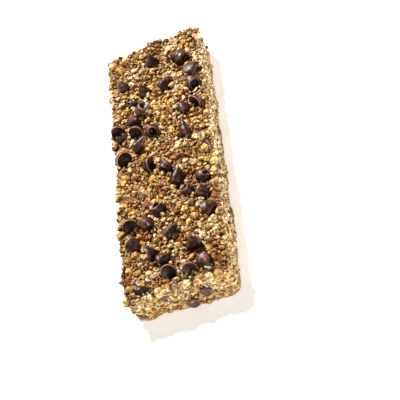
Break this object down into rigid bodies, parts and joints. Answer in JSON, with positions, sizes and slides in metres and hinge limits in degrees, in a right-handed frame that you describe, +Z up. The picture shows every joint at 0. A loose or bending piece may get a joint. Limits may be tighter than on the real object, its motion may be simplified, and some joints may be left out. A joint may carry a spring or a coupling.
{
  "type": "granola bar",
  "caption": "Chewy pressed bar of oats and puffed grain with small chocolate drops set in its top; lies flat on its underside.",
  "frame": {"origin": "middle of the flat underside", "axes": "+Y along the bar's length, towards its far cut end; +X across its width; +Z up, out of the top with the chocolate drops"},
  "size_m": [0.0337, 0.1043, 0.0153],
  "materials": {
    "baked_oats": "matte, toasted oats and puffed grain bound with syrup",
    "chocolate": "satin dark chocolate"
  },
  "bodies": {
    "root": {"granola_slab": "baked_oats", "chocolate_drop_01": "chocolate", "chocolate_drop_02": "chocolate", "chocolate_drop_03": "chocolate", "chocolate_drop_04": "chocolate", "chocolate_drop_05": "chocolate", "chocolate_drop_06": "chocolate", "chocolate_drop_07": "chocolate", "chocolate_drop_08": "chocolate", "chocolate_drop_09": "chocolate", "chocolate_drop_10": "chocolate", "chocolate_drop_11": "chocolate", "chocolate_drop_12": "chocolate", "chocolate_drop_13": "chocolate", "chocolate_drop_14": "chocolate", "chocolate_drop_15": "chocolate", "chocolate_drop_16": "chocolate", "chocolate_drop_17": "chocolate", "chocolate_drop_18": "chocolate", "chocolate_drop_19": "chocolate", "chocolate_drop_20": "chocolate", "chocolate_drop_21": "chocolate", "chocolate_drop_22": "chocolate", "chocolate_drop_23": "chocolate", "chocolate_drop_24": "chocolate", "chocolate_drop_25": "chocolate", "chocolate_drop_26": "chocolate", "chocolate_drop_27": "chocolate", "chocolate_drop_28": "chocolate", "chocolate_drop_29": "chocolate", "chocolate_drop_30": "chocolate", "chocolate_drop_31": "chocolate", "chocolate_drop_32": "chocolate", "chocolate_drop_33": "chocolate", "chocolate_drop_34": "chocolate", "chocolate_drop_35": "chocolate", "chocolate_drop_36": "chocolate", "chocolate_drop_37": "chocolate", "chocolate_drop_38": "chocolate", "chocolate_drop_39": "chocolate", "chocolate_drop_40": "chocolate", "chocolate_drop_41": "chocolate", "chocolate_drop_42": "chocolate", "chocolate_drop_43": "chocolate", "chocolate_drop_44": "chocolate", "chocolate_drop_45": "chocolate"}
  },
  "joints": []
}
